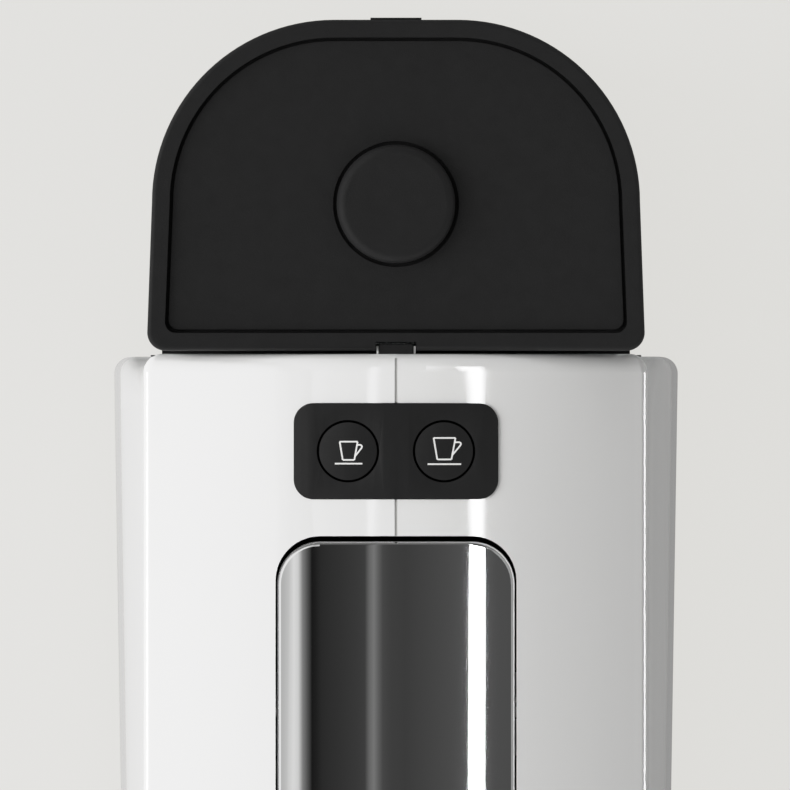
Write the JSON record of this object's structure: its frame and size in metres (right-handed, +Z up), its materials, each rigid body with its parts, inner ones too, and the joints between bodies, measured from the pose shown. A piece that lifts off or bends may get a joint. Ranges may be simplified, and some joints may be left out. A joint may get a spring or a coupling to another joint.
{
  "type": "pod coffee machine",
  "caption": "Slim white pod coffee machine with a chrome lift lever, round cup buttons, a rear water tank with a black lid and a slide-out drip tray with pod bin.",
  "frame": {"origin": "on the table under the middle of the whole outline", "axes": "+Z up, +Y to the rear with the water tank, -Y to the front with the drip tray, +X to the machine's right seen from behind the tray"},
  "size_m": [0.1098, 0.324, 0.2053],
  "materials": {
    "white_gloss": "glossy moulded plastic",
    "black_plastic": "satin moulded plastic",
    "grey_plastic": "moulded plastic",
    "chrome": "polished",
    "steel": "brushed",
    "brass": "drawn",
    "aluminium": "cast",
    "rubber": "matte",
    "circuit_board": "lacquered",
    "board_parts": "satin",
    "clear_plastic": "smoke tinted clear plastic"
  },
  "bodies": {
    "housing": {"left_shell": "white_gloss", "right_shell": "white_gloss", "left_side_panel": "white_gloss", "right_side_panel": "white_gloss", "base_plate": "black_plastic", "head_floor": "black_plastic", "coffee_spout": "black_plastic", "pod_chute": "black_plastic", "lever_well": "black_plastic", "button_panel": "black_plastic", "tank_hook": "black_plastic", "tank_dock": "black_plastic", "chassis": "grey_plastic", "pod_chamber": "grey_plastic", "flow_meter": "grey_plastic", "flow_meter_cap": "grey_plastic", "pump_head": "grey_plastic", "pump_coil": "grey_plastic", "left_brew_plate": "steel", "right_brew_plate": "steel", "piercing_needles": "steel", "screws": "steel", "brew_pipe": "steel", "pump_yoke": "steel", "thermostat": "steel", "heater_terminals": "brass", "pump_barrel": "brass", "thermoblock": "aluminium", "foot_pads": "rubber", "dock_seal": "rubber", "cord_gland": "rubber", "chamber_seal": "rubber", "pump_mounts": "rubber", "suction_hoses": "rubber", "pressure_hose": "rubber", "button_board": "circuit_board", "main_board": "circuit_board", "board_parts": "board_parts", "tact_switches": "board_parts"},
    "lever": {"lever_cover": "chrome", "lever_yoke": "black_plastic", "lever_shaft": "steel", "lever_sectors": "steel"},
    "carriage": {"extraction_carriage": "grey_plastic", "extraction_screen": "steel", "carriage_racks": "steel", "carriage_pins": "steel"},
    "small_button": {"small_cup_button": "black_plastic"},
    "large_button": {"large_cup_button": "black_plastic"},
    "tank": {"water_tank": "clear_plastic", "valve_housing": "grey_plastic"},
    "lid": {"tank_lid": "black_plastic"},
    "valve": {"valve_plunger": "grey_plastic", "valve_spring": "steel"},
    "tray": {"drip_tray": "black_plastic", "pod_bin": "black_plastic"},
    "grid": {"cup_grid": "steel"},
    "pump_core": {"pump_plunger": "steel"},
    "impeller": {"flow_impeller": "grey_plastic"}
  },
  "joints": [
    {"name": "lever_lift", "type": "hinge", "parent": "housing", "child": "lever", "pos_m": [0, 0.03, 0.194], "axis": [-1, 0, 0], "range_deg": [0, 88]},
    {"name": "carriage_slide", "type": "slide", "parent": "housing", "child": "carriage", "axis": [0, -1, 0], "range_m": [0, 0.03072]},
    {"name": "small_button_press", "type": "slide", "parent": "housing", "child": "small_button", "axis": [0, 0, -1], "range_m": [0, 0.0009], "stiffness_N_per_m": 800},
    {"name": "large_button_press", "type": "slide", "parent": "housing", "child": "large_button", "axis": [0, 0, -1], "range_m": [0, 0.0009], "stiffness_N_per_m": 800},
    {"name": "tank_lift", "type": "slide", "parent": "housing", "child": "tank", "axis": [0, 0, 1], "range_m": [0, 0.19]},
    {"name": "lid_lift", "type": "slide", "parent": "tank", "child": "lid", "axis": [0, 0, 1], "range_m": [0, 0.04]},
    {"name": "valve_close", "type": "slide", "parent": "tank", "child": "valve", "axis": [0, 0, -1], "range_m": [0, 0.0027], "deforming": ["valve_spring"]},
    {"name": "tray_pull", "type": "slide", "parent": "housing", "child": "tray", "axis": [0, -1, 0], "range_m": [0, 0.16]},
    {"name": "grid_lift", "type": "slide", "parent": "tray", "child": "grid", "axis": [0, 0, 1], "range_m": [0, 0.05]},
    {"name": "pump_stroke", "type": "slide", "parent": "housing", "child": "pump_core", "axis": [0, 1, 0], "range_m": [-0.002, 0.002], "stiffness_N_per_m": 2000},
    {"name": "impeller_spin", "type": "hinge", "parent": "housing", "child": "impeller", "pos_m": [0, 0.077, 0.013], "axis": [0, 0, 1], "continuous": true}
  ],
  "couplings": [
    {"joint": "carriage_slide", "follows": "lever_lift", "m_per_rad": 0.02},
    {"joint": "valve_close", "follows": "tank_lift", "ratio": 0.014}
  ]
}
